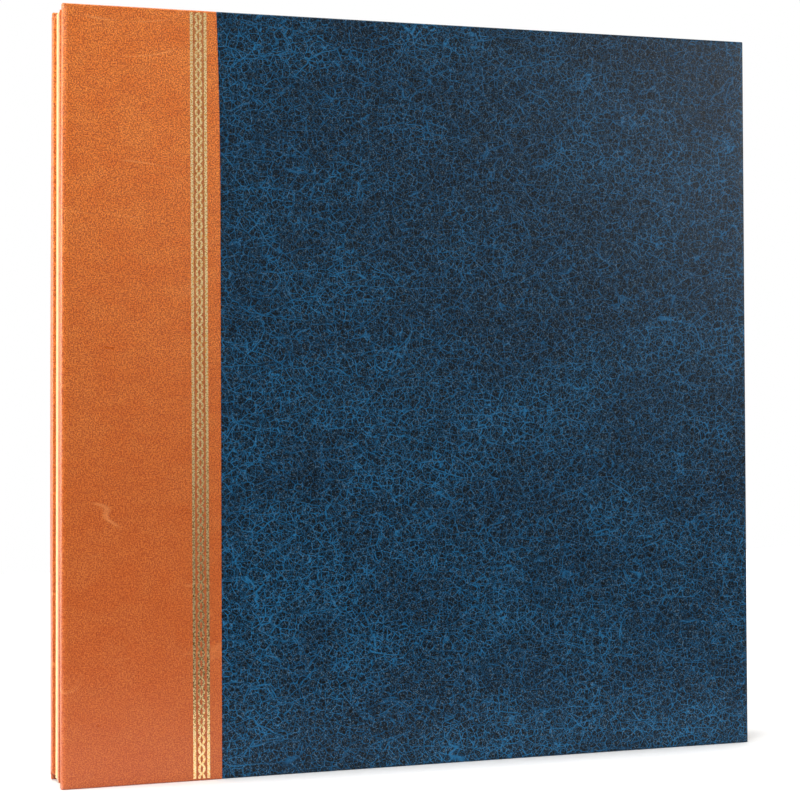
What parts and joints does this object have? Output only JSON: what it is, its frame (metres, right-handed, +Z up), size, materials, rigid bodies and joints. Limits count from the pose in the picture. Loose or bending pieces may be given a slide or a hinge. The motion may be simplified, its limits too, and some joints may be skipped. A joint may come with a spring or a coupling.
{
  "type": "stamp album",
  "caption": "Upright screw-post stamp album: tan and blue leatherette hard covers with a gold chain band, hinged to flaps that clamp linen-hinged card leaves.",
  "frame": {"origin": "bottom centre of the closed album standing on its lower edges", "axes": "+X from the spine to the fore edge, -Y out of the front cover, +Z up along the spine"},
  "size_m": [0.3134, 0.027, 0.32],
  "materials": {
    "blue_leatherette": "crackle-grained, semi-gloss",
    "tan_leatherette": "fine-grained, semi-gloss",
    "gold_foil": "hot-stamped foil, bright",
    "greyboard": "matt",
    "endpaper": "matt",
    "post_brass": "satin",
    "stub_card": "matt",
    "leaf_card": "matt",
    "hinge_linen": "woven, matt",
    "glassine": "translucent, glazed"
  },
  "bodies": {
    "binding": {"front_hinge_fold": "tan_leatherette", "front_flap_board": "greyboard", "front_flap_wrap": "tan_leatherette", "back_hinge_fold": "tan_leatherette", "back_flap_board": "greyboard", "back_flap_wrap": "tan_leatherette", "screw_post_barrels": "post_brass", "screw_post_screws": "post_brass", "leaf_1_stub": "stub_card", "leaf_1_spacer": "stub_card", "leaf_2_stub": "stub_card", "leaf_2_spacer": "stub_card", "leaf_3_stub": "stub_card", "leaf_3_spacer": "stub_card", "leaf_4_stub": "stub_card", "leaf_4_spacer": "stub_card", "leaf_5_stub": "stub_card", "leaf_5_spacer": "stub_card", "leaf_6_stub": "stub_card", "leaf_6_spacer": "stub_card", "leaf_7_stub": "stub_card", "leaf_7_spacer": "stub_card", "leaf_8_stub": "stub_card", "leaf_8_spacer": "stub_card"},
    "front_cover": {"front_cover_board": "greyboard", "front_cover_blue_leatherette": "blue_leatherette", "front_cover_tan_leatherette": "tan_leatherette", "front_cover_gold_band": "gold_foil", "front_cover_endpaper": "endpaper"},
    "back_cover": {"back_cover_board": "greyboard", "back_cover_blue_leatherette": "blue_leatherette", "back_cover_tan_leatherette": "tan_leatherette", "back_cover_gold_band": "gold_foil", "back_cover_endpaper": "endpaper"},
    "leaf_1": {"leaf_1_card": "leaf_card", "leaf_1_glassine": "glassine", "leaf_1_linen": "hinge_linen"},
    "leaf_2": {"leaf_2_card": "leaf_card", "leaf_2_glassine": "glassine", "leaf_2_linen": "hinge_linen"},
    "leaf_3": {"leaf_3_card": "leaf_card", "leaf_3_glassine": "glassine", "leaf_3_linen": "hinge_linen"},
    "leaf_4": {"leaf_4_card": "leaf_card", "leaf_4_glassine": "glassine", "leaf_4_linen": "hinge_linen"},
    "leaf_5": {"leaf_5_card": "leaf_card", "leaf_5_glassine": "glassine", "leaf_5_linen": "hinge_linen"},
    "leaf_6": {"leaf_6_card": "leaf_card", "leaf_6_glassine": "glassine", "leaf_6_linen": "hinge_linen"},
    "leaf_7": {"leaf_7_card": "leaf_card", "leaf_7_glassine": "glassine", "leaf_7_linen": "hinge_linen"},
    "leaf_8": {"leaf_8_card": "leaf_card", "leaf_8_glassine": "glassine", "leaf_8_linen": "hinge_linen"}
  },
  "joints": [
    {"name": "front_cover_open", "type": "hinge", "parent": "binding", "child": "front_cover", "pos_m": [-0.15675, -0.00965, 0.16], "axis": [0, 0, -1], "range_deg": [0, 179], "deforming": ["front_hinge_fold"]},
    {"name": "back_cover_open", "type": "hinge", "parent": "binding", "child": "back_cover", "pos_m": [-0.15675, 0.00965, 0.16], "axis": [0, 0, 1], "range_deg": [0, 179], "deforming": ["back_hinge_fold"]},
    {"name": "leaf_1_turn", "type": "hinge", "parent": "binding", "child": "leaf_1", "pos_m": [-0.12475, -0.0093, 0.16], "axis": [0, 0, -1], "range_deg": [0, 168.8], "deforming": ["leaf_1_linen"]},
    {"name": "leaf_2_turn", "type": "hinge", "parent": "binding", "child": "leaf_2", "pos_m": [-0.12475, -0.0093, 0.16], "axis": [0, 0, -1], "range_deg": [0, 154.4], "deforming": ["leaf_2_linen"]},
    {"name": "leaf_3_turn", "type": "hinge", "parent": "binding", "child": "leaf_3", "pos_m": [-0.12475, -0.0093, 0.16], "axis": [0, 0, -1], "range_deg": [0, 140.1], "deforming": ["leaf_3_linen"]},
    {"name": "leaf_4_turn", "type": "hinge", "parent": "binding", "child": "leaf_4", "pos_m": [-0.12475, -0.0093, 0.16], "axis": [0, 0, -1], "range_deg": [0, 125.8], "deforming": ["leaf_4_linen"]},
    {"name": "leaf_5_turn", "type": "hinge", "parent": "binding", "child": "leaf_5", "pos_m": [-0.12475, 0.0093, 0.16], "axis": [0, 0, 1], "range_deg": [0, 125.8], "deforming": ["leaf_5_linen"]},
    {"name": "leaf_6_turn", "type": "hinge", "parent": "binding", "child": "leaf_6", "pos_m": [-0.12475, 0.0093, 0.16], "axis": [0, 0, 1], "range_deg": [0, 140.1], "deforming": ["leaf_6_linen"]},
    {"name": "leaf_7_turn", "type": "hinge", "parent": "binding", "child": "leaf_7", "pos_m": [-0.12475, 0.0093, 0.16], "axis": [0, 0, 1], "range_deg": [0, 154.4], "deforming": ["leaf_7_linen"]},
    {"name": "leaf_8_turn", "type": "hinge", "parent": "binding", "child": "leaf_8", "pos_m": [-0.12475, 0.0093, 0.16], "axis": [0, 0, 1], "range_deg": [0, 168.8], "deforming": ["leaf_8_linen"]}
  ],
  "couplings": [
    {"joint": "leaf_1_turn", "follows": "front_cover_open", "ratio": 0.94},
    {"joint": "leaf_2_turn", "follows": "front_cover_open", "ratio": 0.86},
    {"joint": "leaf_3_turn", "follows": "front_cover_open", "ratio": 0.78},
    {"joint": "leaf_4_turn", "follows": "front_cover_open", "ratio": 0.7},
    {"joint": "leaf_5_turn", "follows": "back_cover_open", "ratio": 0.7},
    {"joint": "leaf_6_turn", "follows": "back_cover_open", "ratio": 0.78},
    {"joint": "leaf_7_turn", "follows": "back_cover_open", "ratio": 0.86},
    {"joint": "leaf_8_turn", "follows": "back_cover_open", "ratio": 0.94}
  ]
}
